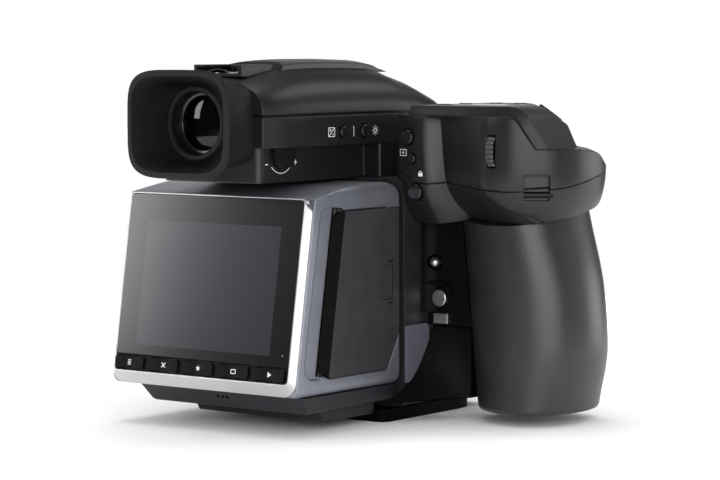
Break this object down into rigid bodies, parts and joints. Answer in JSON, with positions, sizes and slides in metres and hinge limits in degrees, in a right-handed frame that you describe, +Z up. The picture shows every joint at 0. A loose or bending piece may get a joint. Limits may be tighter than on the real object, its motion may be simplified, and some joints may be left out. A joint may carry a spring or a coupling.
{
  "type": "medium format digital camera",
  "caption": "Boxy reflex camera body with a detachable sensor unit and leaning rear screen, lift-off prism finder with rubber eyecup, and a battery hand grip with wheels and buttons",
  "frame": {"origin": "centre of the large tripod thread on the underside of the base", "axes": "+X towards the hand grip, +Y forward out of the lens mount, +Z up"},
  "size_m": [0.1525, 0.1372, 0.1313],
  "materials": {
    "satin_metal_paint": "fine satin metallic paint",
    "bright_aluminium": "satin blasted and anodised",
    "black_plastic": "fine moulded grain",
    "door_plastic": "satin moulded",
    "panel_plastic": "satin moulded",
    "button_plastic": "satin moulded",
    "inner_plastic": "moulded",
    "key_rubber": "moulded rubber",
    "grip_rubber": "fine grained rubber skin",
    "eyecup_rubber": "matte moulded rubber",
    "screen_glass": "polished cover glass",
    "display": "display cell",
    "clear_glass": "polished",
    "mirror": "front-silvered glass",
    "sensor": "sensor carrier with cover glass",
    "cast_body": "black painted casting",
    "base_metal": "black painted plate",
    "shoe_metal": "blackened steel",
    "steel": "polished stainless steel",
    "cell_wrap": "shrink wrap"
  },
  "bodies": {
    "camera_body": {"body_chassis": "cast_body", "front_plate": "cast_body", "lens_mount_ring": "steel", "focusing_screen": "clear_glass", "side_covers": "satin_metal_paint", "base_plate": "base_metal", "grip_web": "black_plastic", "grip_skirt": "black_plastic", "strap_lugs": "steel", "grip_lower_shell": "black_plastic", "grip_upper_shell": "black_plastic", "top_panel": "panel_plastic", "status_display": "display"},
    "sensor_unit": {"back_housing": "satin_metal_paint", "back_lower_cover": "black_plastic", "interface_plate": "black_plastic", "screen_frame": "bright_aluminium", "screen_glass": "screen_glass", "screen_panel": "display", "key_strip": "key_rubber", "latch_strip": "black_plastic", "card_slots": "inner_plastic", "image_sensor": "sensor", "door_pin": "steel"},
    "finder": {"finder_hood": "black_plastic", "finder_base": "black_plastic", "eyecup": "eyecup_rubber", "eyepiece_ring": "black_plastic", "eyepiece_lens": "clear_glass", "hot_shoe": "shoe_metal", "roof_prism": "clear_glass"},
    "battery": {"battery_grip": "grip_rubber", "battery_cells": "cell_wrap"},
    "flash": {"flash_head": "black_plastic", "flash_window": "clear_glass"},
    "menu_key": {"menu_key": "key_rubber"},
    "cross_key": {"cross_key": "key_rubber"},
    "star_key": {"star_key": "key_rubber"},
    "ring_key": {"ring_key": "key_rubber"},
    "play_key": {"play_key": "key_rubber"},
    "card_door": {"card_door": "door_plastic"},
    "lens_lock_pin": {"lens_lock_pin": "steel"},
    "lens_release_button": {"lens_release_button": "button_plastic"},
    "reflex_mirror": {"reflex_mirror": "mirror"},
    "back_release_button": {"back_release_button": "steel"},
    "safety_catch": {"safety_catch": "steel"},
    "shutter_button": {"shutter_button": "button_plastic"},
    "front_wheel": {"front_wheel": "key_rubber"},
    "rear_wheel": {"rear_wheel": "key_rubber"},
    "power_button": {"power_button": "button_plastic"},
    "menu_button": {"menu_button": "button_plastic"},
    "drive_button": {"drive_button": "button_plastic"},
    "iso_button": {"iso_button": "button_plastic"},
    "focus_button": {"focus_button": "button_plastic"},
    "focus_point_button": {"focus_point_button": "button_plastic"},
    "exposure_lock_button": {"exposure_lock_button": "button_plastic"},
    "battery_lock_button": {"battery_lock_button": "steel"},
    "dioptre_dial": {"dioptre_dial": "key_rubber"},
    "band_rear_button": {"band_rear_button": "button_plastic"},
    "band_front_button": {"band_front_button": "button_plastic"}
  },
  "joints": [
    {"name": "sensor_unit_off", "type": "slide", "parent": "camera_body", "child": "sensor_unit", "axis": [0, -1, 0], "range_m": [0, 0.06]},
    {"name": "finder_lift", "type": "slide", "parent": "camera_body", "child": "finder", "axis": [0, 0, 1], "range_m": [0, 0.03]},
    {"name": "battery_off", "type": "slide", "parent": "camera_body", "child": "battery", "axis": [0.0995, 0, -0.995], "range_m": [0, 0.085]},
    {"name": "mirror_swing", "type": "hinge", "parent": "camera_body", "child": "reflex_mirror", "pos_m": [0, -0.022, 0.075], "axis": [1, 0, 0], "range_deg": [0, 45]},
    {"name": "door_swing", "type": "hinge", "parent": "sensor_unit", "child": "card_door", "pos_m": [0.0402, -0.07633, 0.01953], "axis": [0, -0.1668, -0.986], "range_deg": [0, 90]},
    {"name": "flash_rise", "type": "hinge", "parent": "finder", "child": "flash", "pos_m": [0, -0.0574, 0.1258], "axis": [1, 0, 0], "range_deg": [0, 40]},
    {"name": "dioptre_turn", "type": "hinge", "parent": "finder", "child": "dioptre_dial", "pos_m": [0.0226, -0.0739, 0.0985], "axis": [1, 0, 0], "range_deg": [-120, 120]},
    {"name": "front_wheel_turn", "type": "hinge", "parent": "camera_body", "child": "front_wheel", "pos_m": [0.084, 0.0187, 0.086], "axis": [0, 0, 1], "continuous": true},
    {"name": "rear_wheel_turn", "type": "hinge", "parent": "camera_body", "child": "rear_wheel", "pos_m": [0.0816, -0.02239, 0.0987], "axis": [1, 0, 0], "continuous": true},
    {"name": "menu_key_press", "type": "slide", "parent": "sensor_unit", "child": "menu_key", "axis": [0, 0.9869, -0.1616], "range_m": [0, 0.0006], "stiffness_N_per_m": 600, "springref_m": -0.001},
    {"name": "cross_key_press", "type": "slide", "parent": "sensor_unit", "child": "cross_key", "axis": [0, 0.9869, -0.1616], "range_m": [0, 0.0006], "stiffness_N_per_m": 600, "springref_m": -0.001},
    {"name": "star_key_press", "type": "slide", "parent": "sensor_unit", "child": "star_key", "axis": [0, 0.9869, -0.1616], "range_m": [0, 0.0006], "stiffness_N_per_m": 600, "springref_m": -0.001},
    {"name": "ring_key_press", "type": "slide", "parent": "sensor_unit", "child": "ring_key", "axis": [0, 0.9869, -0.1616], "range_m": [0, 0.0006], "stiffness_N_per_m": 600, "springref_m": -0.001},
    {"name": "play_key_press", "type": "slide", "parent": "sensor_unit", "child": "play_key", "axis": [0, 0.9869, -0.1616], "range_m": [0, 0.0006], "stiffness_N_per_m": 600, "springref_m": -0.001},
    {"name": "shutter_button_press", "type": "slide", "parent": "camera_body", "child": "shutter_button", "axis": [-0.4809, -0.3611, -0.799], "range_m": [0, 0.0008], "stiffness_N_per_m": 600, "springref_m": -0.001},
    {"name": "power_button_press", "type": "slide", "parent": "camera_body", "child": "power_button", "axis": [0, 0, -1], "range_m": [0, 0.0008], "stiffness_N_per_m": 600, "springref_m": -0.001},
    {"name": "menu_button_press", "type": "slide", "parent": "camera_body", "child": "menu_button", "axis": [0, 0, -1], "range_m": [0, 0.0008], "stiffness_N_per_m": 600, "springref_m": -0.001},
    {"name": "drive_button_press", "type": "slide", "parent": "camera_body", "child": "drive_button", "axis": [0, 0, -1], "range_m": [0, 0.0008], "stiffness_N_per_m": 600, "springref_m": -0.001},
    {"name": "iso_button_press", "type": "slide", "parent": "camera_body", "child": "iso_button", "axis": [0, 0, -1], "range_m": [0, 0.0008], "stiffness_N_per_m": 600, "springref_m": -0.001},
    {"name": "focus_button_press", "type": "slide", "parent": "camera_body", "child": "focus_button", "axis": [0, 1, 0], "range_m": [0, 0.0008], "stiffness_N_per_m": 600, "springref_m": -0.001},
    {"name": "focus_point_button_press", "type": "slide", "parent": "camera_body", "child": "focus_point_button", "axis": [0, 1, 0], "range_m": [0, 0.0008], "stiffness_N_per_m": 600, "springref_m": -0.001},
    {"name": "exposure_lock_button_press", "type": "slide", "parent": "camera_body", "child": "exposure_lock_button", "axis": [0, 1, 0], "range_m": [0, 0.0008], "stiffness_N_per_m": 600, "springref_m": -0.001},
    {"name": "back_release_button_press", "type": "slide", "parent": "camera_body", "child": "back_release_button", "axis": [0, 1, 0], "range_m": [0, 0.0008], "stiffness_N_per_m": 600, "springref_m": -0.001},
    {"name": "safety_catch_press", "type": "slide", "parent": "camera_body", "child": "safety_catch", "axis": [0, 1, 0], "range_m": [0, 0.0008], "stiffness_N_per_m": 600, "springref_m": -0.001},
    {"name": "battery_lock_button_press", "type": "slide", "parent": "camera_body", "child": "battery_lock_button", "axis": [0, 1, 0], "range_m": [0, 0.0008], "stiffness_N_per_m": 600, "springref_m": -0.001},
    {"name": "band_rear_button_press", "type": "slide", "parent": "finder", "child": "band_rear_button", "axis": [-1, 0, 0], "range_m": [0, 0.0008], "stiffness_N_per_m": 600, "springref_m": -0.001},
    {"name": "band_front_button_press", "type": "slide", "parent": "finder", "child": "band_front_button", "axis": [-1, 0, 0], "range_m": [0, 0.0008], "stiffness_N_per_m": 600, "springref_m": -0.001},
    {"name": "lens_release_button_press", "type": "slide", "parent": "camera_body", "child": "lens_release_button", "axis": [0, -1, 0], "range_m": [0, 0.0008], "stiffness_N_per_m": 600, "springref_m": -0.001},
    {"name": "lens_lock_retract", "type": "slide", "parent": "camera_body", "child": "lens_lock_pin", "axis": [0, -1, 0], "range_m": [0, 0.0014]}
  ],
  "couplings": [
    {"joint": "lens_lock_retract", "follows": "lens_release_button_press", "ratio": 1.75}
  ]
}
